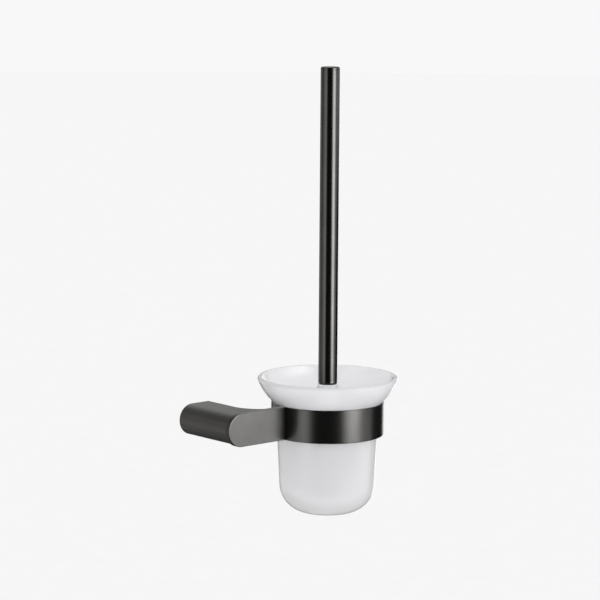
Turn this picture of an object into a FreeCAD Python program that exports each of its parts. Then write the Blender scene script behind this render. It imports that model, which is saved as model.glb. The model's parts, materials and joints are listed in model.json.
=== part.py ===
import FreeCAD, Part
import math
import os

# Wall-mounted toilet brush holder: a wall bracket, a block and a flat arm carry a ring, a frosted
# glass cup hangs in the ring, and a brush with a metal handle stands in the cup.
# Millimetres. +Z up, the wall is the plane y = 0 and the object lies at y < 0.
# The origin is the centre of the block's back face, at half the height of the ring.

# Ring and arm
RING_AXIS_X = 91.0       # from the block's centre to the ring's axis, along the wall
RING_AXIS_Y = -66.0      # from the wall to the ring's axis
BAND_HEIGHT = 28.0       # ring and arm plate, flush top and bottom
RING_R = 47.5
RING_WALL = 2.5
RING_EDGE = 0.4          # chamfer of the ring's outer edges
RING_SEAT = (1.9, 3.2)   # chamfer of the ring's inner top edge, under the cup's flare
LINER_WALL = 1.05
LINER_LENGTH = 22.6
LINER_LIP = (0.55, 2.6)  # chamfer of the liner's inner top edge, where the cup rests
LINER_INSET = 1.0        # from the ring's lower edge up to the liner
ARM_THICKNESS = 5.0
ARM_LEFT_X = -17.0
ARM_EDGE = 0.5           # chamfer round the front face

# Block behind the arm, and the bracket inside it
BLOCK_HALF_HEIGHT = 13.0
BLOCK_LEFT_X = -16.0
BLOCK_RIGHT_X = 16.0
BLOCK_WALL = 3.0
BLOCK_WEB = 7.0          # solid front of the block, behind the arm
BLOCK_SWEEP_R = 25.0     # hollow curve from the block's side into the arm
BLOCK_FOOT = 1.5         # thickness where that curve ends on the arm
BLOCK_EDGE = 1.0
BRACKET_DEPTH = 12.0
BRACKET_GAP = 0.3
WALL_HOLE_R = 2.25
WALL_HOLE_SPACING = 13.0
WALL_HEAD_R = 4.25
WALL_HEAD_DEPTH = 7.0
GRUB_R = 2.0
GRUB_LENGTH = 5.0
GRUB_Y = -6.0
GRUB_SUNK = 0.3
GRUB_SOCKET = (1.0, 2.5)         # half the hexagon's width, and its depth
PLATE_SCREW_X = (-9.0, 9.0)
PLATE_SCREW_R = 2.0
PLATE_SCREW_HEAD_R = 3.5
PLATE_SCREW_HEAD = 2.6
PLATE_SOCKET = (1.5, 1.5)        # half the hexagon's width, and its depth
PLATE_SCREW_BITE = 3.4   # thread length in the arm
SCREW_HOLE_GAP = 0.15

# Glass cup: one wall thickness, a slightly conical body, a round bottom and a wide flare
CUP_WALL = 3.8
CUP_BASE = 8.0
CUP_BOTTOM_Z = -81.0
CUP_BOTTOM_ROUND = 23.8
CUP_INNER_ROUND = 17.0
CUP_R = 42.4             # outer radius at the ring's lower edge
CUP_SLOPE = 0.05         # growth of that radius per millimetre of height
FLARE_START_Z = 6.3
FLARE_IN_R = 12.6        # hollow bend out of the body
FLARE_OUT_R = 44.8       # round bend of the flare itself
FLARE_TURN = 47.0        # degrees from vertical where the two bends meet
FLARE_END = 20.0         # degrees from vertical at the rim

# Handle
HANDLE_R = 8.0
HANDLE_WALL = 1.2
HANDLE_BOTTOM_Z = 29.4
HANDLE_TOP_Z = 295.1
CAP_HEIGHT = 2.2
CAP_CHAMFER = 0.7
BUSH_HEIGHT = 2.2
PLUG_LENGTH = 14.0       # of the cap and of the bush inside the tube
WASHER_HEIGHT = 1.0
WASHER_R = 7.6
STUD_R = 4.0
STUD_LEAD = 1.0          # chamfer of the stud's lower end
STUD_BITE = 10.0         # thread length of the stud in the stem
STUD_IN_HANDLE = 12.0
RUNNING_GAP = 0.05
SEAM = 0.2               # small groove left between two metal parts of the handle

# Brush head
STEM_R = 9.0
STEM_EDGE = 0.6
STEM_LENGTH = 34.0       # neck below the washer
SHOULDER_SLOPE = 2.0     # height over width of the shoulder between neck and core
STEM_HOLE_SPARE = 2.0    # from the stud's end to the bottom of its hole
CORE_R = 10.0
ROW_COUNT = 7
ROW_TOP_Z = -14.0
ROW_PITCH = 5.6
BELT_HALF_HEIGHT = 1.9
BELT_DEPTH = 1.6
TUFTS_PER_ROW = 14
TUFT_OFFSET = 0.25       # share of a step that the first tuft is turned by
TUFT_ROOT_R = 1.1
TUFT_END_R = 1.9
TUFT_REACH = 33.0        # from the axis to the ends of the bristles
TIP_CENTRE_Z = -52.0
# Tufts on the round end: degrees below level, how many, and their reach from its centre
TIP_RINGS = ((12.0, 14, 32.0), (38.0, 11, 27.5), (64.0, 6, 21.8), (90.0, 1, 20.7))

RING_TOP_Z = BAND_HEIGHT / 2
RING_BOTTOM_Z = -BAND_HEIGHT / 2
ARM_FRONT_Y = RING_AXIS_Y
ARM_BACK_Y = RING_AXIS_Y + ARM_THICKNESS
Z_AXIS = FreeCAD.Vector(0, 0, 1)
AXIS = FreeCAD.Vector(RING_AXIS_X, RING_AXIS_Y, 0)


def vec(x, y, z):
    return FreeCAD.Vector(x, y, z)


def save(name, shape):
    shape.exportStep("parts/" + name + ".step")
    print(name, len(shape.Solids), shape.isValid(), round(shape.Volume, 1))


# ---------------------------------------------------------------- helpers

def at(radius, z):
    """A point of a profile that is turned about the ring's axis."""
    return vec(RING_AXIS_X + radius, RING_AXIS_Y, z)


def turned(edges):
    """A solid turned about the ring's axis from a closed profile."""
    face = Part.Face(Part.Wire(edges))
    return face.revolve(AXIS, Z_AXIS, 360)


def polygon(points):
    """Straight edges through the points and back to the first one."""
    pairs = zip(points, points[1:] + points[:1])
    return [Part.LineSegment(a, b).toShape() for a, b in pairs]


def turned_polygon(points):
    return turned(polygon([at(r, z) for r, z in points]))


def on_axis(radius, z0, z1):
    return Part.makeCylinder(radius, z1 - z0, vec(RING_AXIS_X, RING_AXIS_Y, z0), Z_AXIS)


def along_y(radius, x, z, y0, y1):
    return Part.makeCylinder(radius, y1 - y0, vec(x, y0, z), vec(0, 1, 0))


def half_round_bar(left_x, right_x, half_height, y0, y1):
    """A bar along Y whose left side is half round and whose right side is flat."""
    centre_x = left_x + half_height
    top = vec(centre_x, y0, half_height)
    left = vec(left_x, y0, 0)
    low = vec(centre_x, y0, -half_height)
    right_low = vec(right_x, y0, -half_height)
    right_top = vec(right_x, y0, half_height)
    edges = [
        Part.Arc(top, left, low).toShape(),
        Part.LineSegment(low, right_low).toShape(),
        Part.LineSegment(right_low, right_top).toShape(),
        Part.LineSegment(right_top, top).toShape(),
    ]
    return Part.Face(Part.Wire(edges)).extrude(vec(0, y1 - y0, 0))


# ---------------------------------------------------------------- holder

def holder_ring():
    inner = RING_R - RING_WALL
    seat_out, seat_down = RING_SEAT
    return turned_polygon([
        (inner, RING_BOTTOM_Z),
        (RING_R - RING_EDGE, RING_BOTTOM_Z),
        (RING_R, RING_BOTTOM_Z + RING_EDGE),
        (RING_R, RING_TOP_Z - RING_EDGE),
        (RING_R - RING_EDGE, RING_TOP_Z),
        (inner + seat_out, RING_TOP_Z),
        (inner, RING_TOP_Z - seat_down),
    ])


def ring_liner():
    outer = RING_R - RING_WALL
    inner = outer - LINER_WALL
    bottom = RING_BOTTOM_Z + LINER_INSET
    top = bottom + LINER_LENGTH
    lip_out, lip_down = LINER_LIP
    return turned_polygon([
        (inner, bottom),
        (outer, bottom),
        (outer, top),
        (inner + lip_out, top),
        (inner, top - lip_down),
    ])


def front_edges(shape):
    """The edges that lie wholly in the arm's front plane, apart from the one at the ring."""
    found = []
    for edge in shape.Edges:
        box = edge.BoundBox
        in_front = abs(box.YMin - ARM_FRONT_Y) < 1e-6 and abs(box.YMax - ARM_FRONT_Y) < 1e-6
        if in_front and box.XMin < RING_AXIS_X - RING_R - 2:
            found.append(edge)
    return found


def arm_plate():
    """Flat bar in front of the block, with a half-round end, cut off at the ring's outer face."""
    bar = half_round_bar(ARM_LEFT_X, RING_AXIS_X - RING_R / 2, BAND_HEIGHT / 2, ARM_FRONT_Y, ARM_BACK_Y)
    bar = bar.makeChamfer(ARM_EDGE, front_edges(bar))
    bar = bar.cut(on_axis(RING_R, RING_BOTTOM_Z - 1, RING_TOP_Z + 1))
    for x in PLATE_SCREW_X:
        bar = bar.cut(along_y(PLATE_SCREW_R, x, 0, ARM_BACK_Y - PLATE_SCREW_BITE, ARM_BACK_Y))
    return bar.Solids[0]


def block_plan():
    """The block seen from above: straight sides, then a hollow sweep into the arm on the right."""
    foot_y = ARM_BACK_Y + BLOCK_FOOT
    centre_x = BLOCK_RIGHT_X + BLOCK_SWEEP_R
    centre_y = foot_y + BLOCK_SWEEP_R
    middle = math.radians(225)
    z = -BLOCK_HALF_HEIGHT
    start = vec(BLOCK_RIGHT_X, centre_y, z)
    bend = vec(centre_x + BLOCK_SWEEP_R * math.cos(middle), centre_y + BLOCK_SWEEP_R * math.sin(middle), z)
    end = vec(centre_x, foot_y, z)
    foot = vec(centre_x, ARM_BACK_Y, z)
    left_front = vec(BLOCK_LEFT_X, ARM_BACK_Y, z)
    left_back = vec(BLOCK_LEFT_X, 0, z)
    right_back = vec(BLOCK_RIGHT_X, 0, z)
    edges = [
        Part.LineSegment(right_back, start).toShape(),
        Part.Arc(start, bend, end).toShape(),
        Part.LineSegment(end, foot).toShape(),
        Part.LineSegment(foot, left_front).toShape(),
        Part.LineSegment(left_front, left_back).toShape(),
        Part.LineSegment(left_back, right_back).toShape(),
    ]
    return Part.Face(Part.Wire(edges)).extrude(vec(0, 0, 2 * BLOCK_HALF_HEIGHT))


def sweep_edges(shape):
    """The long top and bottom edges on the block's right side, straight and curved."""
    found = []
    for edge in shape.Edges:
        box = edge.BoundBox
        level = box.ZLength < 1e-6 and abs(abs(box.ZMin) - BLOCK_HALF_HEIGHT) < 1e-6
        right = box.XMin > BLOCK_RIGHT_X - 1e-6 and box.YLength > BLOCK_FOOT + 1
        if level and right:
            found.append(edge)
    return found


def mount_block():
    outside = half_round_bar(BLOCK_LEFT_X, 2 * RING_AXIS_X, BLOCK_HALF_HEIGHT, ARM_BACK_Y, 0)
    block = block_plan().common(outside).removeSplitter()
    block = block.makeFillet(BLOCK_EDGE, sweep_edges(block))
    web_y = ARM_BACK_Y + BLOCK_WEB
    pocket = half_round_bar(
        BLOCK_LEFT_X + BLOCK_WALL, BLOCK_RIGHT_X - BLOCK_WALL, BLOCK_HALF_HEIGHT - BLOCK_WALL, web_y, 1
    )
    block = block.cut(pocket)
    for x in PLATE_SCREW_X:
        block = block.cut(along_y(PLATE_SCREW_R + SCREW_HOLE_GAP, x, 0, ARM_BACK_Y - 1, web_y + 1))
    grub_hole = Part.makeCylinder(GRUB_R, BLOCK_WALL + 2, vec(0, GRUB_Y, -BLOCK_HALF_HEIGHT - 1), Z_AXIS)
    return block.cut(grub_hole).Solids[0]


def wall_bracket():
    """Block screwed to the wall through two counterbored holes; the grub screw bites its underside."""
    inset = BLOCK_WALL + BRACKET_GAP
    half = BLOCK_HALF_HEIGHT - inset
    bracket = half_round_bar(BLOCK_LEFT_X + inset, BLOCK_RIGHT_X - inset, half, -BRACKET_DEPTH, 0)
    for side in (-1, 1):
        x = side * WALL_HOLE_SPACING / 2
        bracket = bracket.cut(along_y(WALL_HOLE_R, x, 0, -BRACKET_DEPTH - 1, 1))
        head = along_y(WALL_HEAD_R, x, 0, -BRACKET_DEPTH - 1, -BRACKET_DEPTH + WALL_HEAD_DEPTH)
        bracket = bracket.cut(head)
    tip_z = -BLOCK_HALF_HEIGHT + GRUB_SUNK + GRUB_LENGTH
    notch = Part.makeCylinder(GRUB_R + SCREW_HOLE_GAP, half + tip_z, vec(0, GRUB_Y, -half), Z_AXIS)
    return bracket.cut(notch)


def grub_screw():
    bottom = -BLOCK_HALF_HEIGHT + GRUB_SUNK
    body = Part.makeCylinder(GRUB_R, GRUB_LENGTH, vec(0, GRUB_Y, bottom), Z_AXIS)
    return body.cut(hex_socket(GRUB_SOCKET[0], vec(0, GRUB_Y, bottom), vec(0, 0, GRUB_SOCKET[1])))


def hex_socket(half_width, centre, depth):
    """A hexagonal prism from centre along depth, half_width across flats from its middle."""
    corner = half_width / math.cos(math.radians(30))
    turn = FreeCAD.Rotation(Z_AXIS, depth)
    points = []
    for i in range(6):
        angle = math.radians(60 * i)
        flat = vec(corner * math.cos(angle), corner * math.sin(angle), 0)
        points.append(centre + turn.multVec(flat))
    return Part.Face(Part.Wire(polygon(points))).extrude(depth)


def plate_screws():
    """Two socket screws that hold the arm to the block from inside."""
    seat_y = ARM_BACK_Y + BLOCK_WEB
    screws = []
    for x in PLATE_SCREW_X:
        shank = along_y(PLATE_SCREW_R, x, 0, ARM_BACK_Y - PLATE_SCREW_BITE, seat_y)
        head = along_y(PLATE_SCREW_HEAD_R, x, 0, seat_y, seat_y + PLATE_SCREW_HEAD)
        top = vec(x, seat_y + PLATE_SCREW_HEAD, 0)
        socket = hex_socket(PLATE_SOCKET[0], top, vec(0, -PLATE_SOCKET[1], 0))
        screws.append(shank.fuse(head).removeSplitter().cut(socket))
    return Part.makeCompound(screws)


# ---------------------------------------------------------------- cup

def wall_radius(z, inset):
    """Radius of the cup's conical wall at height z, inset millimetres inside its outer face."""
    tilt = math.atan(CUP_SLOPE)
    return CUP_R + CUP_SLOPE * (z - RING_BOTTOM_Z) - inset / math.cos(tilt)


def cup_round(bottom_z, radius, inset):
    """Flat floor edge, middle and end of the rounding between the cup's floor and its wall."""
    tilt = math.atan(CUP_SLOPE)
    centre_z = bottom_z + radius
    centre_r = wall_radius(centre_z, inset) - radius / math.cos(tilt)
    points = []
    for angle in (-math.pi / 2, -(math.pi / 2 + tilt) / 2, -tilt):
        points.append(at(centre_r + radius * math.cos(angle), centre_z + radius * math.sin(angle)))
    return points


def flare_points(inset):
    """Start, middle, join, middle and end of the flare's two bends, inset inside its outer face."""
    tilt = math.atan(CUP_SLOPE)
    turn = math.radians(FLARE_TURN)
    end = math.radians(FLARE_END)
    hollow_r = wall_radius(FLARE_START_Z, 0) + FLARE_IN_R * math.cos(tilt)
    hollow_z = FLARE_START_Z - FLARE_IN_R * math.sin(tilt)
    reach = FLARE_IN_R + FLARE_OUT_R
    round_r = hollow_r - reach * math.cos(turn)
    round_z = hollow_z + reach * math.sin(turn)
    points = []
    for angle in (tilt, (tilt + turn) / 2, turn):
        bend = FLARE_IN_R + inset
        points.append(at(hollow_r - bend * math.cos(angle), hollow_z + bend * math.sin(angle)))
    for angle in ((turn + end) / 2, end):
        bend = FLARE_OUT_R - inset
        points.append(at(round_r + bend * math.cos(angle), round_z - bend * math.sin(angle)))
    return points


def glass_cup():
    end = math.radians(FLARE_END)
    low = cup_round(CUP_BOTTOM_Z, CUP_BOTTOM_ROUND, 0)
    floor = cup_round(CUP_BOTTOM_Z + CUP_BASE, CUP_INNER_ROUND, CUP_WALL)
    outer = flare_points(0)
    inner = flare_points(CUP_WALL)
    lip_centre = (outer[4] + inner[4]) * 0.5
    lip_top = lip_centre + vec(math.sin(end), 0, math.cos(end)) * (CUP_WALL / 2)
    edges = [
        Part.LineSegment(at(0, CUP_BOTTOM_Z), low[0]).toShape(),
        Part.Arc(low[0], low[1], low[2]).toShape(),
        Part.LineSegment(low[2], outer[0]).toShape(),
        Part.Arc(outer[0], outer[1], outer[2]).toShape(),
        Part.Arc(outer[2], outer[3], outer[4]).toShape(),
        Part.Arc(outer[4], lip_top, inner[4]).toShape(),
        Part.Arc(inner[4], inner[3], inner[2]).toShape(),
        Part.Arc(inner[2], inner[1], inner[0]).toShape(),
        Part.LineSegment(inner[0], floor[2]).toShape(),
        Part.Arc(floor[2], floor[1], floor[0]).toShape(),
        Part.LineSegment(floor[0], at(0, CUP_BOTTOM_Z + CUP_BASE)).toShape(),
        Part.LineSegment(at(0, CUP_BOTTOM_Z + CUP_BASE), at(0, CUP_BOTTOM_Z)).toShape(),
    ]
    return turned(edges)


# ---------------------------------------------------------------- handle

def handle_tube():
    bottom = HANDLE_BOTTOM_Z + BUSH_HEIGHT
    top = HANDLE_TOP_Z - CAP_HEIGHT
    return on_axis(HANDLE_R, bottom, top).cut(on_axis(HANDLE_R - HANDLE_WALL, bottom - 1, top + 1))


def handle_cap():
    """Disc that closes the tube's top, with a chamfered edge, a fine groove and a plug."""
    seam_z = HANDLE_TOP_Z - CAP_HEIGHT
    plug_r = HANDLE_R - HANDLE_WALL
    return turned_polygon([
        (0, seam_z - PLUG_LENGTH),
        (plug_r, seam_z - PLUG_LENGTH),
        (plug_r, seam_z),
        (HANDLE_R - SEAM, seam_z),
        (HANDLE_R, seam_z + SEAM),
        (HANDLE_R, HANDLE_TOP_Z - CAP_CHAMFER),
        (HANDLE_R - CAP_CHAMFER, HANDLE_TOP_Z),
        (0, HANDLE_TOP_Z),
    ])


def handle_bush():
    """Collar that closes the tube's lower end, with the stud's hole through it."""
    seam_z = HANDLE_BOTTOM_Z + BUSH_HEIGHT
    plug_r = HANDLE_R - HANDLE_WALL
    return turned_polygon([
        (STUD_R, HANDLE_BOTTOM_Z),
        (HANDLE_R - SEAM, HANDLE_BOTTOM_Z),
        (HANDLE_R, HANDLE_BOTTOM_Z + SEAM),
        (HANDLE_R, seam_z - SEAM),
        (HANDLE_R - SEAM, seam_z),
        (plug_r, seam_z),
        (plug_r, seam_z + PLUG_LENGTH),
        (STUD_R, seam_z + PLUG_LENGTH),
    ])


def threaded_stud():
    """Stud fixed in the bush; its lower end screws into the stem."""
    bottom = HANDLE_BOTTOM_Z - WASHER_HEIGHT - STUD_BITE
    return turned_polygon([
        (0, bottom),
        (STUD_R - STUD_LEAD, bottom),
        (STUD_R, bottom + STUD_LEAD),
        (STUD_R, HANDLE_BOTTOM_Z + STUD_IN_HANDLE),
        (0, HANDLE_BOTTOM_Z + STUD_IN_HANDLE),
    ])


def handle_washer():
    bottom = HANDLE_BOTTOM_Z - WASHER_HEIGHT
    hole_r = STUD_R + SCREW_HOLE_GAP
    return on_axis(WASHER_R, bottom, HANDLE_BOTTOM_Z).cut(on_axis(hole_r, bottom - 1, HANDLE_BOTTOM_Z + 1))


# ---------------------------------------------------------------- brush head

def belt(index):
    """The band that a row of tufts is set in, sunk flush in the core."""
    z = ROW_TOP_Z - index * ROW_PITCH
    low = z - BELT_HALF_HEIGHT
    high = z + BELT_HALF_HEIGHT
    return on_axis(CORE_R, low, high).cut(on_axis(CORE_R - BELT_DEPTH, low - 1, high + 1))


def brush_stem():
    """One moulding: a neck, the hole for the stud in its top, and the bristle core."""
    top = HANDLE_BOTTOM_Z - WASHER_HEIGHT
    neck_low = top - STEM_LENGTH
    hole_r = STUD_R + RUNNING_GAP
    hole_z = top - STUD_BITE - STEM_HOLE_SPARE
    shoulder = (CORE_R - STEM_R) * SHOULDER_SLOPE
    stem = turned_polygon([
        (0, hole_z),
        (hole_r, hole_z),
        (hole_r, top),
        (STEM_R - STEM_EDGE, top),
        (STEM_R, top - STEM_EDGE),
        (STEM_R, neck_low),
        (CORE_R, neck_low - shoulder),
        (CORE_R, TIP_CENTRE_Z),
        (0, TIP_CENTRE_Z),
    ])
    for index in range(ROW_COUNT):
        stem = stem.cut(belt(index))
    return stem


def tuft(centre, out, start, end):
    """A bundle of bristles along the direction out, start to end millimetres from centre."""
    return Part.makeCone(TUFT_ROOT_R, TUFT_END_R, end - start, centre + out * start, out)


def bristle_row(index):
    """One row of tufts round the core. Neighbouring rows are turned by half a step."""
    centre = vec(RING_AXIS_X, RING_AXIS_Y, ROW_TOP_Z - index * ROW_PITCH)
    tufts = []
    for number in range(TUFTS_PER_ROW):
        angle = 2 * math.pi * (number + 0.5 * (index % 2) + TUFT_OFFSET) / TUFTS_PER_ROW
        out = vec(math.cos(angle), math.sin(angle), 0)
        tufts.append(tuft(centre, out, CORE_R - BELT_DEPTH / 2, TUFT_REACH))
    return belt(index).fuse(tufts).removeSplitter()


def bristle_tip():
    """The core's round end, with tufts that point down and outwards."""
    centre = vec(RING_AXIS_X, RING_AXIS_Y, TIP_CENTRE_Z)
    dome = Part.makeSphere(CORE_R, centre).cut(on_axis(CORE_R + 1, TIP_CENTRE_Z, TIP_CENTRE_Z + CORE_R + 1))
    tufts = []
    for below, count, reach in TIP_RINGS:
        dip = math.radians(below)
        for number in range(count):
            angle = 2 * math.pi * (number + TUFT_OFFSET) / count
            out = vec(math.cos(dip) * math.cos(angle), math.cos(dip) * math.sin(angle), -math.sin(dip))
            tufts.append(tuft(centre, out, CORE_R - BELT_DEPTH / 2, reach))
    return dome.fuse(tufts).removeSplitter()


def build():
    os.makedirs("parts", exist_ok=True)
    save("wall_bracket", wall_bracket())
    save("mount_block", mount_block())
    save("grub_screw", grub_screw())
    save("arm_plate", arm_plate())
    save("plate_screws", plate_screws())
    save("holder_ring", holder_ring())
    save("ring_liner", ring_liner())
    save("glass_cup", glass_cup())
    save("handle_tube", handle_tube())
    save("handle_cap", handle_cap())
    save("handle_bush", handle_bush())
    save("threaded_stud", threaded_stud())
    save("handle_washer", handle_washer())
    save("brush_stem", brush_stem())
    for index in range(ROW_COUNT):
        save("bristle_row_" + str(index + 1), bristle_row(index))
    save("bristle_tip", bristle_tip())


build()
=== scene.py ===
import json
import math
import random

import bmesh
import bpy
from mathutils import Matrix, Vector


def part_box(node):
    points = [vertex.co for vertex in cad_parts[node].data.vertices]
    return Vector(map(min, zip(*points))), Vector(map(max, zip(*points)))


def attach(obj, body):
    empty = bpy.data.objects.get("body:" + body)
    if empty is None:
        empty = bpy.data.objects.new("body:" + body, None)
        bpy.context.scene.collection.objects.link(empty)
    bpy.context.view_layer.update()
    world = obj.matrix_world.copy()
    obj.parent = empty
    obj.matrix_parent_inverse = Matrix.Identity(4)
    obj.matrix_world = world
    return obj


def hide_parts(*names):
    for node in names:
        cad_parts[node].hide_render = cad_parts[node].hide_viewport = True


# The looks of a wall-mounted toilet brush holder: gunmetal bracket, ring and handle, a frosted glass cup
# and a white brush. Metres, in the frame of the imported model. Profiles are written in millimetres.

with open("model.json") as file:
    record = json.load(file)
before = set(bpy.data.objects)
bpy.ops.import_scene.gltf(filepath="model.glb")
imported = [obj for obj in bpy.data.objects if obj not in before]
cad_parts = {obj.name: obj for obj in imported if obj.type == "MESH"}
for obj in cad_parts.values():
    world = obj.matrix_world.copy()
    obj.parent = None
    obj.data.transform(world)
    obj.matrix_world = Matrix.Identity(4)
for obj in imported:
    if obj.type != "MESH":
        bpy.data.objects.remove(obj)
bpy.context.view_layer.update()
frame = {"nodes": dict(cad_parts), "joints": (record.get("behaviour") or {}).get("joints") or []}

MM = 0.001
JOINTS = {joint["name"]: joint for joint in frame["joints"]}
AXIS_X, AXIS_Y = (value / MM for value in JOINTS["handle_unscrew"]["pos_m"][:2])


def low_z(node):
    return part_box(node)[0].z / MM


def high_z(node):
    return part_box(node)[1].z / MM


def widest(node):
    """Outer radius of a turned node, from its box."""
    low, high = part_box(node)
    return round((high.x - low.x) / 2 / MM, 1)


# ---------------------------------------------------------------- mesh helpers

TURN_STEPS = 160         # segments round a turned piece
CORNER_STEPS = 5         # segments of a rounded corner
ON_AXIS = 1e-6           # a profile point nearer to the axis than this lies on it


def rounded(corners):
    """Profile points from corners (across, up, radius): each corner with a radius becomes an arc."""
    points = []
    for index, (across, up, radius) in enumerate(corners):
        here = Vector((across, up))
        if radius == 0:
            points.append(here)
            continue
        before = Vector(corners[index - 1][:2]) - here
        after = Vector(corners[(index + 1) % len(corners)][:2]) - here
        before.normalize()
        after.normalize()
        half = before.angle(after) / 2
        centre = here + (before + after).normalized() * radius / math.sin(half)
        start = here + before * radius / math.tan(half) - centre
        end = here + after * radius / math.tan(half) - centre
        sweep = math.pi - 2 * half
        for step in range(CORNER_STEPS + 1):
            share = step / CORNER_STEPS
            spoke = start * math.sin((1 - share) * sweep) + end * math.sin(share * sweep)
            points.append(centre + spoke / math.sin(sweep))
    return points


def arc(centre, radius, first, last, steps):
    """Points of an arc, from angle first to angle last in degrees, from the outward direction."""
    points = []
    for step in range(steps + 1):
        angle = math.radians(first + (last - first) * step / steps)
        points.append(Vector((centre[0] + radius * math.cos(angle), centre[1] + radius * math.sin(angle))))
    return points


def mesh_object(name, points, faces, material):
    """A smooth-shaded object from points in millimetres."""
    mesh = bpy.data.meshes.new(name)
    mesh.from_pydata([Vector(point) * MM for point in points], [], faces)
    tidy = bmesh.new()
    tidy.from_mesh(mesh)
    bmesh.ops.recalc_face_normals(tidy, faces=tidy.faces)
    tidy.to_mesh(mesh)
    tidy.free()
    mesh.shade_smooth()
    mesh.materials.append(material)
    piece = bpy.data.objects.new(name, mesh)
    bpy.context.scene.collection.objects.link(piece)
    return piece


def even_normals(piece):
    """Flat stretches keep flat shading next to small rounded edges."""
    modifier = piece.modifiers.new("even_normals", "WEIGHTED_NORMAL")
    modifier.weight = 50
    modifier.keep_sharp = True


def turned(name, profile, material, steps=TURN_STEPS, shape=None):
    """A piece turned about the axis of the cup. The profile is a loop, or starts and ends on the axis.
    shape(radius, up, angle) may change a radius, as a thread does."""
    points = []
    rings = []
    for across, up in profile:
        if across < ON_AXIS:
            rings.append([len(points)])
            points.append((AXIS_X, AXIS_Y, up))
            continue
        ring = []
        for step in range(steps):
            angle = 2 * math.pi * step / steps
            radius = shape(across, up, angle) if shape else across
            ring.append(len(points))
            points.append((AXIS_X + radius * math.cos(angle), AXIS_Y + radius * math.sin(angle), up))
        rings.append(ring)
    faces = []
    for one, two in zip(rings, rings[1:] + rings[:1]):
        for step in range(steps):
            after = step + 1
            corners = [one[step % len(one)], one[after % len(one)]]
            corners += [two[after % len(two)], two[step % len(two)]]
            corners = list(dict.fromkeys(corners))      # on the axis, two of them are one point
            if len(corners) > 2:
                faces.append(corners)
    piece = mesh_object(name, points, faces, material)
    even_normals(piece)
    return piece


def place(piece, body, slot, *nodes):
    """The piece rides on its body and stands for these nodes of the frame."""
    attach(piece, body)
    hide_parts(*nodes)


# ---------------------------------------------------------------- material helpers

class Shader:
    """A new material, its Principled BSDF, and short ways to add procedural detail to it."""

    def __init__(self, name, **inputs):
        self.material = bpy.data.materials.new(name)
        self.material.use_nodes = True
        self.nodes = self.material.node_tree.nodes
        self.links = self.material.node_tree.links
        self.surface = self.nodes["Principled BSDF"]
        self.height = None
        for key, value in inputs.items():
            self.surface.inputs[key.replace("_", " ")].default_value = value
        self.place = self.nodes.new("ShaderNodeTexCoord").outputs["Object"]

    def noise(self, size, stretch=(1, 1, 1), detail=3.0):
        """Noise with grains of that size in millimetres, drawn out along the axes by stretch."""
        mapping = self.nodes.new("ShaderNodeMapping")
        mapping.inputs["Scale"].default_value = [1 / (size * MM * s) for s in stretch]
        self.links.new(self.place, mapping.inputs["Vector"])
        noise = self.nodes.new("ShaderNodeTexNoise")
        noise.inputs["Scale"].default_value = 1.0
        noise.inputs["Detail"].default_value = detail
        self.links.new(mapping.outputs["Vector"], noise.inputs["Vector"])
        return noise.outputs["Fac"]

    def range(self, value, low, high, source=(0.3, 0.7)):
        """value from the source range to the range low..high."""
        node = self.nodes.new("ShaderNodeMapRange")
        node.inputs["From Min"].default_value = source[0]
        node.inputs["From Max"].default_value = source[1]
        node.inputs["To Min"].default_value = low
        node.inputs["To Max"].default_value = high
        self.links.new(value, node.inputs["Value"])
        return node.outputs["Result"]

    def blend(self, share, one, two):
        """A colour between one and two."""
        node = self.nodes.new("ShaderNodeMix")
        node.data_type = "RGBA"
        self.links.new(share, node.inputs["Factor"])
        for socket, colour in ((node.inputs["A"], one), (node.inputs["B"], two)):
            if isinstance(colour, tuple):
                socket.default_value = (*colour, 1)
            else:
                self.links.new(colour, socket)
        return node.outputs["Result"]

    def feed(self, key, value):
        self.links.new(value, self.surface.inputs[key])

    def bump(self, value, depth):
        """Fine relief, depth in millimetres. Several bumps add up."""
        node = self.nodes.new("ShaderNodeBump")
        node.inputs["Strength"].default_value = 1.0
        node.inputs["Distance"].default_value = depth * MM
        self.links.new(value, node.inputs["Height"])
        if self.height:
            self.links.new(self.height, node.inputs["Normal"])
        self.height = node.outputs["Normal"]
        self.feed("Normal", self.height)


# ---------------------------------------------------------------- materials

ALONG_X = (40, 1, 1)     # brushing lines are 40 times as long as they are wide
ALONG_Y = (1, 40, 1)
ALONG_Z = (1, 1, 40)
EVEN = (1, 1, 1)
METAL_TINT = (1, 0.985, 0.955)
TONE_SPREAD = (0.94, 1.08)
ROUGHNESS_SPREAD = 0.015
WORN_METAL = (0.36, 0.35, 0.34)
WORN_SHARE = 0.35        # how much of the worn colour the sharpest edges take
WORN_EDGES = (0.53, 0.62)    # pointiness where wear starts, and where it is complete


def gunmetal(name, stretch, tone=0.16, roughness=0.25):
    """Dark plated metal with a satin finish: fine grain, faint lines along stretch, paler worn edges."""
    shader = Shader(name, Metallic=1.0)
    cloud = shader.noise(22, detail=2)
    lines = shader.noise(0.35, stretch, detail=4)
    grain = shader.noise(0.12, detail=2)
    dark, light = (tuple(tone * share * tint for tint in METAL_TINT) for share in TONE_SPREAD)
    tones = shader.blend(shader.range(cloud, 0, 1), dark, light)
    edge = shader.nodes.new("ShaderNodeNewGeometry").outputs["Pointiness"]
    worn = shader.range(edge, 0, WORN_SHARE, WORN_EDGES)
    shader.feed("Base Color", shader.blend(worn, tones, WORN_METAL))
    smoothest, roughest = roughness - ROUGHNESS_SPREAD, roughness + ROUGHNESS_SPREAD
    shader.feed("Roughness", shader.range(lines, smoothest, roughest))
    shader.bump(grain, 0.0001)
    shader.bump(lines, 0.00015)
    return shader.material


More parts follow.
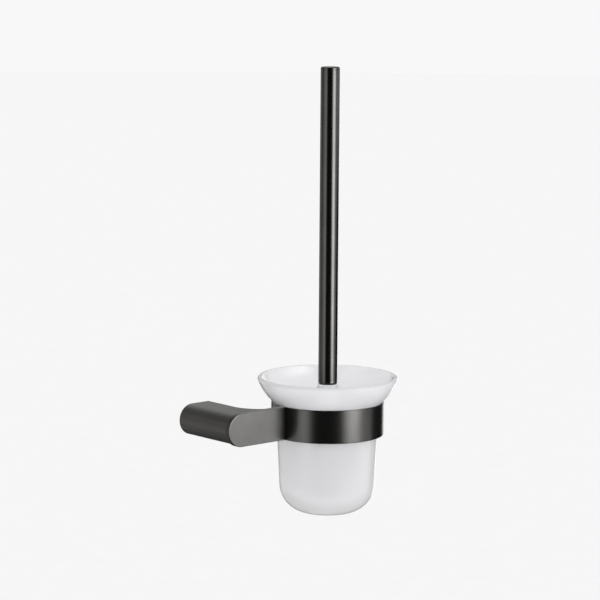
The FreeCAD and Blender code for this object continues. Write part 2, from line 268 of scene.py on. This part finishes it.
def frosted_glass():
    """Glass with an etched skin: it scatters part of the light, and shapes behind it melt away."""
    shader = Shader(
        "frosted_glass", Base_Color=(0.975, 0.971, 0.987, 1), IOR=1.48, Transmission_Weight=0.57
    )
    etched = shader.noise(0.5, detail=3)
    patches = shader.noise(14, detail=2)
    shader.feed("Roughness", shader.range(patches, 0.13, 0.19))
    shader.bump(etched, 0.004)
    return shader.material


def white_plastic():
    """Glossy injection moulding, very slightly uneven."""
    shader = Shader("white_plastic", IOR=1.49)
    waves = shader.noise(9, detail=1)
    skin = shader.noise(0.4, detail=2)
    tone = shader.range(waves, 0, 1)
    shader.feed("Base Color", shader.blend(tone, (0.71, 0.725, 0.745), (0.77, 0.78, 0.79)))
    shader.feed("Roughness", shader.range(skin, 0.26, 0.36))
    shader.bump(waves, 0.03)
    shader.bump(skin, 0.002)
    return shader.material


def bristle_nylon():
    """White nylon, each bristle a little different from its neighbours."""
    shader = Shader("bristle_nylon", IOR=1.53)
    own = shader.nodes.new("ShaderNodeNewGeometry").outputs["Random Per Island"]
    shader.feed("Base Color", shader.blend(own, (0.85, 0.86, 0.88), (0.95, 0.955, 0.96)))
    shader.feed("Roughness", shader.range(own, 0.30, 0.45, (0, 1)))
    shader.bump(shader.noise(0.3), 0.004)
    return shader.material


def black_plastic():
    shader = Shader("black_plastic")
    grain = shader.noise(0.35, detail=3)
    tone = shader.range(shader.noise(6), 0, 1)
    shader.feed("Base Color", shader.blend(tone, (0.016, 0.016, 0.017), (0.028, 0.028, 0.029)))
    shader.feed("Roughness", shader.range(grain, 0.42, 0.58))
    shader.bump(grain, 0.01)
    return shader.material


def rubber():
    shader = Shader("rubber")
    dust = shader.noise(1.2, detail=5)
    tone = shader.range(dust, 0, 1)
    shader.feed("Base Color", shader.blend(tone, (0.012, 0.012, 0.013), (0.03, 0.03, 0.03)))
    shader.feed("Roughness", shader.range(dust, 0.62, 0.8))
    shader.bump(shader.noise(0.25), 0.008)
    return shader.material


def cast_zinc():
    """Bare die casting: grey, dull, with a fine pebbled skin and soft flow marks."""
    shader = Shader("cast_zinc", Metallic=1.0)
    flow = shader.noise(5, (1, 1, 2.5), detail=4)
    pebbles = shader.noise(0.45, detail=3)
    tone = shader.range(flow, 0, 1)
    shader.feed("Base Color", shader.blend(tone, (0.40, 0.41, 0.43), (0.56, 0.57, 0.59)))
    shader.feed("Roughness", shader.range(pebbles, 0.40, 0.56))
    shader.bump(pebbles, 0.02)
    shader.bump(flow, 0.03)
    return shader.material


def screw_steel():
    """Bright steel with turning marks."""
    shader = Shader("screw_steel", Metallic=1.0)
    marks = shader.noise(0.15, (1, 6, 1), detail=3)
    tone = shader.range(marks, 0, 1)
    shader.feed("Base Color", shader.blend(tone, (0.50, 0.50, 0.49), (0.66, 0.66, 0.65)))
    shader.feed("Roughness", shader.range(marks, 0.22, 0.34))
    shader.bump(marks, 0.003)
    return shader.material


# The arm's front material is the block's gunmetal at twice the tone: painted light on the face the lamps
# fall on.
METAL_ARM_PAINTED_LIT = gunmetal("gunmetal_arm_painted_lit", ALONG_X, 0.32, 0.30)
METAL_BLOCK = gunmetal("gunmetal_block", ALONG_Y, roughness=0.31)
METAL_HANDLE = gunmetal("gunmetal_handle", ALONG_Z, 0.142, 0.20)
METAL_RING = gunmetal("gunmetal_ring", EVEN)
GLASS = frosted_glass()
PLASTIC = white_plastic()
NYLON = bristle_nylon()
BLACK = black_plastic()
RUBBER = rubber()
ZINC = cast_zinc()
STEEL = screw_steel()


# ---------------------------------------------------------------- holder

RING_WALL = 2.5
RING_EDGE = 0.4
RING_SEAT = (1.9, 3.2)
LINER_WALL = 1.05
LINER_LIP = (0.55, 2.6)
ARM_EDGE = 0.5
ARM_BACK_EDGE = 0.15
ARM_ARC_STEPS = 48
SMALL = 0.2              # radius of the small edges that only a close look shows


def ring():
    outer = widest("holder_ring")
    inner = outer - RING_WALL
    bottom, top = low_z("holder_ring"), high_z("holder_ring")
    across, down = RING_SEAT
    profile = rounded([
        (inner, bottom, SMALL),
        (outer, bottom, RING_EDGE),
        (outer, top, RING_EDGE),
        (inner + across, top, SMALL / 2),
        (inner, top - down, SMALL),
    ])
    place(turned("ring_shell", profile, METAL_RING), "holder", "gunmetal", "holder_ring")


def liner():
    outer = widest("ring_liner")
    inner = outer - LINER_WALL
    bottom, top = low_z("ring_liner"), high_z("ring_liner")
    across, down = LINER_LIP
    profile = rounded([
        (inner, bottom, SMALL),
        (outer, bottom, SMALL),
        (outer, top, SMALL),
        (inner + across, top, SMALL / 2),
        (inner, top - down, SMALL),
    ])
    place(turned("ring_liner_sleeve", profile, BLACK), "holder", "black_plastic", "ring_liner")


def arm_layers(front, back):
    """(inset, y) pairs through the plate, from its back face to its front face."""
    layers = [(ARM_BACK_EDGE, back), (0, back - ARM_BACK_EDGE)]
    for point in arc((ARM_EDGE, front + ARM_EDGE), ARM_EDGE, 180, 270, 2 * CORNER_STEPS):
        layers.append((point.x, point.y))
    return layers


def arm():
    """The flat bar: half-round left end, rounded front edge, right end fitted to the ring."""
    low, high = (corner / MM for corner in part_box("arm_plate"))
    ring_r = widest("holder_ring")
    half_height = high.z
    centre_x = low.x + half_height
    loops = []
    for inset, y in arm_layers(low.y, high.y):
        radius = half_height - inset
        right_x = AXIS_X - math.sqrt(ring_r ** 2 - (y - AXIS_Y) ** 2)
        outline = [Vector((right_x, radius))]
        outline += arc((centre_x, 0), radius, 90, 270, ARM_ARC_STEPS)
        outline.append(Vector((right_x, -radius)))
        loops.append([(point.x, y, point.y) for point in outline])
    count = len(loops[0])
    points = [point for loop in loops for point in loop]
    faces = [list(range(count)), list(range(len(points) - count, len(points)))]
    for layer in range(len(loops) - 1):
        for step in range(count):
            one = layer * count + step
            two = layer * count + (step + 1) % count
            faces.append([one, two, two + count, one + count])
    piece = mesh_object("arm_bar", points, faces, METAL_ARM_PAINTED_LIT)
    piece.data.materials.append(METAL_BLOCK)
    for face in piece.data.polygons:
        if face.center.y > (low.y + ARM_EDGE) * MM:
            face.material_index = 1      # only the front is pale: a lighter copy of the gunmetal, painted light on the lit face
    even_normals(piece)
    place(piece, "holder", "gunmetal", "arm_plate")


# ---------------------------------------------------------------- glass cup

CUP_WALL = 3.8
CUP_BASE = 8.0
CUP_BOTTOM_ROUND = 23.8
CUP_INNER_ROUND = 17.0
CUP_R = 42.4             # at the lower edge of the ring
CUP_SLOPE = 0.05
FLARE_START_Z = 6.3
FLARE_IN_R = 12.6
FLARE_OUT_R = 44.8
FLARE_TURN = 47.0
FLARE_END = 20.0
CUP_ARC_STEPS = 20
CUP_TILT = math.degrees(math.atan(CUP_SLOPE))


def wall_radius(z, inset):
    lower_edge = low_z("holder_ring")
    return CUP_R + CUP_SLOPE * (z - lower_edge) - inset / math.cos(math.radians(CUP_TILT))


def cup_round(floor_z, radius, inset):
    centre_z = floor_z + radius
    centre_r = wall_radius(centre_z, inset) - radius / math.cos(math.radians(CUP_TILT))
    return arc((centre_r, centre_z), radius, -90, -CUP_TILT, CUP_ARC_STEPS)


def flare(inset):
    tilt = math.radians(CUP_TILT)
    turn = math.radians(FLARE_TURN)
    hollow_r = wall_radius(FLARE_START_Z, 0) + FLARE_IN_R * math.cos(tilt)
    hollow_z = FLARE_START_Z - FLARE_IN_R * math.sin(tilt)
    reach = FLARE_IN_R + FLARE_OUT_R
    round_r = hollow_r - reach * math.cos(turn)
    round_z = hollow_z + reach * math.sin(turn)
    hollow = arc((hollow_r, hollow_z), FLARE_IN_R + inset, 180 - CUP_TILT, 180 - FLARE_TURN, CUP_ARC_STEPS)
    swell = arc((round_r, round_z), FLARE_OUT_R - inset, -FLARE_TURN, -FLARE_END, CUP_ARC_STEPS)
    return hollow + swell[1:]


def cup():
    bottom = low_z("glass_cup")
    outer = flare(0)
    inner = flare(CUP_WALL)
    lip = (outer[-1] + inner[-1]) / 2
    edge = arc(lip, CUP_WALL / 2, -FLARE_END, 180 - FLARE_END, 2 * CORNER_STEPS)
    floor = cup_round(bottom + CUP_BASE, CUP_INNER_ROUND, CUP_WALL)
    profile = [Vector((0, bottom))] + cup_round(bottom, CUP_BOTTOM_ROUND, 0) + outer
    profile += edge[1:-1] + inner[::-1] + floor[::-1] + [Vector((0, bottom + CUP_BASE))]
    piece = turned("cup_glass", profile, GLASS)
    piece.visible_glossy = False     # the metal mirrors the lamps, not the pale cup
    place(piece, "cup", "frosted_glass", "glass_cup")


# ---------------------------------------------------------------- handle

TUBE_WALL = 1.2
PLUG_GAP = 0.03
CAP_CHAMFER = 0.7
BUSH_ROUND = 0.5
STUD_R = 4.0
STUD_LEAD = 1.0          # height and width of the chamfer at the lower end
STUD_STEPS = 64
THREAD_PITCH = 1.25
THREAD_DEPTH = 0.65
THREAD_CREST = 1.25      # over 1, the crests come out flat
THREAD_ROWS = 10         # rows of points for each turn of a thread


def handle():
    radius = widest("handle_tube")
    plug = radius - TUBE_WALL - PLUG_GAP
    low, high = low_z("handle_tube"), high_z("handle_tube")
    bottom, top = low_z("handle_bush"), high_z("handle_cap")
    tube = rounded([
        (radius - TUBE_WALL, low, 0),
        (radius, low, SMALL / 2),
        (radius, high, SMALL / 2),
        (radius - TUBE_WALL, high, 0),
    ])
    place(turned("handle_shaft", tube, METAL_HANDLE), "handle", "gunmetal", "handle_tube")
    cap = [Vector((0, low_z("handle_cap")))] + rounded([
        (plug, low_z("handle_cap"), 0),
        (plug, high, 0),
        (radius - SMALL, high, 0),
        (radius, high + SMALL, SMALL / 2),
        (radius, top - CAP_CHAMFER, SMALL),
        (radius - CAP_CHAMFER, top, SMALL),
        (0, top, 0),
    ])
    place(turned("handle_end_cap", cap, METAL_HANDLE), "handle", "gunmetal", "handle_cap")
    bush = rounded([
        (STUD_R, bottom, 0),
        (radius, bottom, BUSH_ROUND),
        (radius, low, SMALL),
        (plug, low, 0),
        (plug, high_z("handle_bush"), 0),
        (STUD_R, high_z("handle_bush"), 0),
    ])
    place(turned("handle_collar", bush, METAL_HANDLE), "handle", "gunmetal", "handle_bush")


def thread_ridge(across, up, angle):
    """Radius of the thread: a flat-topped ridge that climbs one pitch a turn. The lower end is plain."""
    if across < STUD_R:
        return across
    phase = (up / THREAD_PITCH - angle / (2 * math.pi)) % 1
    ridge = 1 - abs(2 * phase - 1)
    return across - THREAD_DEPTH * (1 - min(1, THREAD_CREST * ridge))


def stud():
    bottom, top = low_z("threaded_stud"), high_z("threaded_stud")
    thread_low = bottom + STUD_LEAD
    length = top - thread_low
    rows = round(length / THREAD_PITCH * THREAD_ROWS)
    profile = [Vector((0, bottom)), Vector((STUD_R - STUD_LEAD, bottom))]
    for row in range(rows + 1):
        profile.append(Vector((STUD_R, thread_low + length * row / rows)))
    profile.append(Vector((0, top)))
    piece = turned("stud_thread", profile, STEEL, STUD_STEPS, thread_ridge)
    place(piece, "handle", "steel", "threaded_stud")


WASHER_ROUND = 0.35      # radius of the outer edges, as a share of the washer's height
WASHER_PLAY = 0.2        # between the stud and the washer's hole


def washer():
    outer = widest("handle_washer")
    bottom, top = low_z("handle_washer"), high_z("handle_washer")
    edge = (top - bottom) * WASHER_ROUND
    inner = STUD_R + WASHER_PLAY
    profile = rounded([
        (inner, bottom, SMALL),
        (outer, bottom, edge),
        (outer, top, edge),
        (inner, top, SMALL),
    ])
    place(turned("neck_seal", profile, RUBBER), "neck_washer", "rubber", "handle_washer")


# ---------------------------------------------------------------- brush head

STEM_R = 9.0
STEM_EDGE = 0.6
STEM_HOLE_R = 4.05
STEM_HOLE_DEPTH = 12.0
NECK_LENGTH = 34.0
NECK_FOOT = 1.5          # hollow radius where the neck meets the shoulder
SHOULDER = 2.0
SHOULDER_EDGE = 1.0
CORE_R = 10.0
CORE_STEPS = 96
CORE_ARC_STEPS = 12
ROW_COUNT = 7
BELT_HALF_HEIGHT = 1.9
BELT_DEPTH = 1.6
TUFTS_PER_ROW = 14
TUFT_OFFSET = 0.25
TUFT_ROOT_R = 0.95
TUFT_END_R = 1.75
TUFT_REACH = 33.0
TIP_RINGS = ((12.0, 14, 32.0), (38.0, 11, 27.5), (64.0, 6, 21.8), (90.0, 1, 20.7))
BRISTLES = 30            # in one tuft
BRISTLE_R = 0.14
BRISTLE_SIDES = 5
BRISTLE_STATIONS = 6
BRISTLE_TAPER = 0.15     # share of its radius that a bristle loses on the way out
BRISTLE_TIP = 0.55       # share of the radius left at the cut end
BRISTLE_BOW = 0.35       # how far a bristle may bow along each of two sideways directions
BRISTLE_SHORT = 0.9      # how much shorter than the longest a bristle may be
BRISTLE_CLOSE = 0.85     # least share that a bristle spreads to, of what its place in the tuft gives it
GOLDEN_ANGLE = 137.5     # spreads the bristles evenly over the hole
ANGLE_SLACK = 0.3
STEEP = 0.9              # a direction with a greater Z part than this is nearly upright
SEED = 5
CORE_END_Z = low_z("brush_stem")


def row_height(index):
    low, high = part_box("bristle_row_" + str(index + 1))
    return (low.z + high.z) / 2 / MM


def stem():
    top = high_z("brush_stem")
    neck_low = top - NECK_LENGTH
    corners = [
        (0, top - STEM_HOLE_DEPTH, 0),
        (STEM_HOLE_R, top - STEM_HOLE_DEPTH, 0),
        (STEM_HOLE_R, top, SMALL),
        (STEM_R, top, STEM_EDGE),
        (STEM_R, neck_low, NECK_FOOT),
        (CORE_R, neck_low - SHOULDER, SHOULDER_EDGE),
    ]
    for index in range(ROW_COUNT):
        z = row_height(index)
        groove = CORE_R - BELT_DEPTH
        corners += [
            (CORE_R, z + BELT_HALF_HEIGHT, SMALL),
            (groove, z + BELT_HALF_HEIGHT, 0),
            (groove, z - BELT_HALF_HEIGHT, 0),
            (CORE_R, z - BELT_HALF_HEIGHT, SMALL),
        ]
    corners += [(CORE_R, CORE_END_Z, 0), (0, CORE_END_Z, 0)]
    place(turned("stem_moulding", rounded(corners), PLASTIC), "brush_head", "white_plastic", "brush_stem")


def crossways(out):
    """Two directions square to out and to each other."""
    side = out.cross(Vector((0, 0, 1)) if abs(out.z) < STEEP else Vector((1, 0, 0))).normalized()
    return side, out.cross(side)


def add_bristle(points, faces, root, tip, bow):
    """One bristle, from root to tip: a thin tapered tube, narrowed at its cut end."""
    side, up = crossways((tip - root).normalized())
    first = len(points)
    for station in range(BRISTLE_STATIONS):
        share = station / (BRISTLE_STATIONS - 1)
        centre = root.lerp(tip, share) + bow * math.sin(math.pi * share)
        radius = BRISTLE_R * (1 - BRISTLE_TAPER * share)
        if station == BRISTLE_STATIONS - 1:
            radius *= BRISTLE_TIP
        for step in range(BRISTLE_SIDES):
            angle = 2 * math.pi * step / BRISTLE_SIDES
            points.append(centre + (side * math.cos(angle) + up * math.sin(angle)) * radius)
    for station in range(BRISTLE_STATIONS - 1):
        for step in range(BRISTLE_SIDES):
            one = first + station * BRISTLE_SIDES + step
            two = first + station * BRISTLE_SIDES + (step + 1) % BRISTLE_SIDES
            faces.append([one, two, two + BRISTLE_SIDES, one + BRISTLE_SIDES])
    last = first + (BRISTLE_STATIONS - 1) * BRISTLE_SIDES
    faces.append(list(range(last, last + BRISTLE_SIDES)))
    faces.append(list(range(first, first + BRISTLE_SIDES)))


def add_tuft(points, faces, centre, out, reach, draw):
    """A bundle of bristles set in one hole, spread a little towards their ends."""
    side, up = crossways(out)
    start = CORE_R - BELT_DEPTH / 2
    for number in range(BRISTLES):
        spread = math.sqrt((number + 0.5) / BRISTLES)
        angle = number * math.radians(GOLDEN_ANGLE) + draw.uniform(-ANGLE_SLACK, ANGLE_SLACK)
        across = side * math.cos(angle) + up * math.sin(angle)
        length = reach - BRISTLE_SHORT * draw.random()
        root = centre + out * start + across * spread * TUFT_ROOT_R
        tip = centre + out * length + across * spread * TUFT_END_R * draw.uniform(BRISTLE_CLOSE, 1)
        bow = (side * draw.uniform(-1, 1) + up * draw.uniform(-1, 1)) * BRISTLE_BOW
        add_bristle(points, faces, root, tip, bow)


def bristle_row(index, draw):
    z = row_height(index)
    centre = Vector((AXIS_X, AXIS_Y, z))
    points, faces = [], []
    for number in range(TUFTS_PER_ROW):
        angle = 2 * math.pi * (number + 0.5 * (index % 2) + TUFT_OFFSET) / TUFTS_PER_ROW
        add_tuft(points, faces, centre, Vector((math.cos(angle), math.sin(angle), 0)), TUFT_REACH, draw)
    name = "bristles_" + str(index + 1)
    bristles = mesh_object(name, points, faces, NYLON)
    place(bristles, "brush_head", "bristle", "bristle_row_" + str(index + 1))
    belt = rounded([
        (CORE_R - BELT_DEPTH, z - BELT_HALF_HEIGHT, 0),
        (CORE_R, z - BELT_HALF_HEIGHT, SMALL),
        (CORE_R, z + BELT_HALF_HEIGHT, SMALL),
        (CORE_R - BELT_DEPTH, z + BELT_HALF_HEIGHT, 0),
    ])
    band = turned("bristle_belt_" + str(index + 1), belt, PLASTIC, CORE_STEPS)
    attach(band, "brush_head")


def bristle_tip(draw):
    centre = Vector((AXIS_X, AXIS_Y, CORE_END_Z))
    points, faces = [], []
    for below, count, reach in TIP_RINGS:
        dip = math.radians(below)
        for number in range(count):
            angle = 2 * math.pi * (number + TUFT_OFFSET) / count
            level = Vector((math.cos(angle), math.sin(angle), 0)) * math.cos(dip)
            add_tuft(points, faces, centre, level - Vector((0, 0, math.sin(dip))), reach, draw)
    place(mesh_object("bristles_tip", points, faces, NYLON), "brush_head", "bristle", "bristle_tip")
    dome = [Vector((0, CORE_END_Z))] + arc((0, CORE_END_Z), CORE_R, 0, -90, CORE_ARC_STEPS)
    dome[-1].x = 0
    end = turned("core_end", dome, PLASTIC, CORE_STEPS)
    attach(end, "brush_head")


def brush():
    draw = random.Random(SEED)
    stem()
    for index in range(ROW_COUNT):
        bristle_row(index, draw)
    bristle_tip(draw)


# ---------------------------------------------------------------- nodes of the frame that stay

def finish_cad_nodes():
    kept = {"mount_block": METAL_BLOCK, "wall_bracket": ZINC, "grub_screw": STEEL, "plate_screws": STEEL}
    for node, material in kept.items():
        shown = frame["nodes"][node]
        shown.data.materials.clear()
        shown.data.materials.append(material)


# ---------------------------------------------------------------- studio

FLOOR_Z = -1.6
FLOOR_R = 26.0
FLOOR_STEPS = 128
CAMERA_PLACE = (-1.5064, -1.8532, 0.4647)
CAMERA_YAW = 41.22       # from +Y towards +X
CAMERA_PITCH = 8.664     # below level
CAMERA_ROLL = 0.381
CAMERA_LENS = 173.44
SOFTBOX_DISTANCE = 1.6
FADE_STEPS = 4           # panels in one softbox
FADE_WIDEST = 1.45       # width of its nearest panel, as a share of the softbox's width
FADE_LOSS = 0.9          # how much smaller that share is at its last panel
FADE_GAP = 0.05          # from one panel to the next
SKY_CAMERA = 0.94
SKY_SOFT = 1.31          # what lights diffuse surfaces and shines through glass
SKY_LEAN = 0.14          # how much brighter that is from the right of the picture than from above
SKY_LEAN_TO = (0.752, -0.659, 0)
SKY_GLOSS = 0.014        # what reflections see between the softboxes
SKY_GLOSS_STEEP = 0.14   # and what they see straight up and down
SKY_RISE = (0.2, 0.9)    # steepness between which the one turns into the other


def floor():
    """A pale disc far below, seen directly and through glass. It is in no reflection and lights nothing."""
    shader = Shader("floor_paint", Roughness=0.9)
    grain = shader.noise(60, detail=4)
    tone = shader.range(grain, 0, 1)
    shader.feed("Base Color", shader.blend(tone, (0.70, 0.70, 0.70), (0.71, 0.71, 0.71)))
    shader.surface.inputs["Specular IOR Level"].default_value = 0.0
    rim = []
    for step in range(FLOOR_STEPS):
        angle = 2 * math.pi * step / FLOOR_STEPS
        rim.append((FLOOR_R * math.cos(angle) / MM, FLOOR_R * math.sin(angle) / MM, FLOOR_Z / MM))
    disc = mesh_object("studio_floor", rim, [list(range(FLOOR_STEPS))], shader.material)
    disc.visible_glossy = False
    disc.visible_diffuse = False
    disc.visible_shadow = False


def sky():
    """White all round for soft light, dim for reflections, so that the metal shows the softboxes."""
    world = bpy.data.worlds.new("studio_sky")
    bpy.context.scene.world = world
    world.use_nodes = True
    world.cycles.sampling_method = "NONE"
    nodes, links = world.node_tree.nodes, world.node_tree.links
    background = nodes["Background"]
    rays = nodes.new("ShaderNodeLightPath")
    reflected = nodes.new("ShaderNodeMath")
    reflected.operation = "SUBTRACT"
    reflected.use_clamp = True
    links.new(rays.outputs["Is Glossy Ray"], reflected.inputs[0])
    links.new(rays.outputs["Is Transmission Ray"], reflected.inputs[1])
    direction = nodes.new("ShaderNodeTexCoord").outputs["Generated"]
    height = nodes.new("ShaderNodeSeparateXYZ")
    links.new(direction, height.inputs["Vector"])
    steep = nodes.new("ShaderNodeMath")
    steep.operation = "ABSOLUTE"
    links.new(height.outputs["Z"], steep.inputs[0])
    dim = nodes.new("ShaderNodeMapRange")
    dim.inputs["From Min"].default_value = SKY_RISE[0]
    dim.inputs["From Max"].default_value = SKY_RISE[1]
    dim.inputs["To Min"].default_value = SKY_GLOSS
    dim.inputs["To Max"].default_value = SKY_GLOSS_STEEP
    links.new(steep.outputs[0], dim.inputs["Value"])
    side = nodes.new("ShaderNodeVectorMath")
    side.operation = "DOT_PRODUCT"
    side.inputs[1].default_value = SKY_LEAN_TO
    links.new(direction, side.inputs[0])
    soft = nodes.new("ShaderNodeMapRange")
    soft.inputs["From Min"].default_value = -1
    soft.inputs["To Min"].default_value = SKY_SOFT * (1 - SKY_LEAN)
    soft.inputs["To Max"].default_value = SKY_SOFT * (1 + SKY_LEAN)
    links.new(side.outputs["Value"], soft.inputs["Value"])
    gloss = nodes.new("ShaderNodeMix")
    links.new(soft.outputs["Result"], gloss.inputs["A"])
    links.new(dim.outputs["Result"], gloss.inputs["B"])
    links.new(reflected.outputs[0], gloss.inputs["Factor"])
    seen = nodes.new("ShaderNodeMix")
    seen.inputs["B"].default_value = SKY_CAMERA
    links.new(rays.outputs["Is Camera Ray"], seen.inputs["Factor"])
    links.new(gloss.outputs["Result"], seen.inputs["A"])
    links.new(seen.outputs["Result"], background.inputs["Strength"])
    background.inputs["Color"].default_value = (1, 1, 1, 1)


def panel(name, azimuth, width, low, high, distance, radiance):
    """An upright lamp that only reflections see. Azimuth 0 is in front of the object, 90 to its right;
    width is the angle it fills as the object sees it, low and high its heights."""
    around = math.radians(azimuth)
    out = Vector((math.sin(around), -math.cos(around), 0))
    data = bpy.data.lights.new(name, "AREA")
    data.shape = "RECTANGLE"
    data.size = 2 * distance * math.tan(math.radians(width / 2))
    data.size_y = high - low
    data.energy = radiance * math.pi * data.size * data.size_y
    lamp = bpy.data.objects.new(name, data)
    lamp.location = Vector((AXIS_X * MM, AXIS_Y * MM, (low + high) / 2)) + out * distance
    lamp.rotation_mode = "QUATERNION"
    lamp.rotation_quaternion = (-out).to_track_quat("-Z", "Y")
    lamp.visible_camera = False
    lamp.visible_diffuse = False
    lamp.visible_transmission = False
    bpy.context.scene.collection.objects.link(lamp)


def softbox(name, azimuth, width, low, high, radiance):
    """Nested panels, one behind the other, so that the light fades out at its sides."""
    for number in range(FADE_STEPS):
        share = FADE_WIDEST - FADE_LOSS * number / (FADE_STEPS - 1)
        distance = SOFTBOX_DISTANCE + FADE_GAP * number
        panel(name + "_" + str(number), azimuth, width * share, low, high, distance, radiance / FADE_STEPS)


def lights():
    softbox("softbox_key", 12, 33, -0.32, 1.5, 3.9)
    panel("panel_front_right", 47, 24, -0.62, 1.5, 1.7, 0.44)
    softbox("softbox_left", -90, 24, -0.62, 1.5, 0.85)
    panel("panel_right", 75, 40, 0.05, 1.5, 1.7, 0.6)
    panel("panel_left_near", -114, 26, -1.2, 1.5, 1.7, 0.42)
    panel("panel_left", -141, 26, -0.8, 0.05, 1.7, 0.25)
    panel("panel_left_high", -146, 34, 0.05, 0.9, 1.7, 0.17)
    panel("panel_left_far", -174, 38, -1.2, 0.5, 1.7, 0.42)
    panel("panel_left_top", -183, 56, 0.5, 1.5, 1.7, 0.16)
    panel("panel_behind", 116, 12, -0.62, 1.5, 1.6, 1.0)
    panel("panel_back_low", 129, 24, -0.62, 0.05, 1.8, 0.95)
    panel("panel_back_high", 142, 30, 0.05, 1.5, 1.8, 0.44)
    panel("panel_back_side", 167, 20, 0.6, 1.8, 1.8, 0.26)


def camera():
    yaw, pitch, roll = (math.radians(angle) for angle in (CAMERA_YAW, CAMERA_PITCH, CAMERA_ROLL))
    look = Vector((math.sin(yaw) * math.cos(pitch), math.cos(yaw) * math.cos(pitch), -math.sin(pitch)))
    level = Vector((math.cos(yaw), -math.sin(yaw), 0))
    upright = level.cross(look)
    right = level * math.cos(roll) + upright * math.sin(roll)
    up = upright * math.cos(roll) - level * math.sin(roll)
    data = bpy.data.cameras.new("camera")
    data.lens = CAMERA_LENS
    data.clip_end = 100
    view = bpy.data.objects.new("camera", data)
    turn = Matrix((right, up, -look)).transposed()
    view.matrix_world = Matrix.Translation(CAMERA_PLACE) @ turn.to_4x4()
    bpy.context.scene.collection.objects.link(view)
    bpy.context.scene.camera = view


def studio():
    bpy.context.scene.view_settings.view_transform = "Standard"
    floor()
    sky()
    lights()
    camera()


ring()
liner()
arm()
cup()
handle()
stud()
washer()
brush()
finish_cad_nodes()
studio()
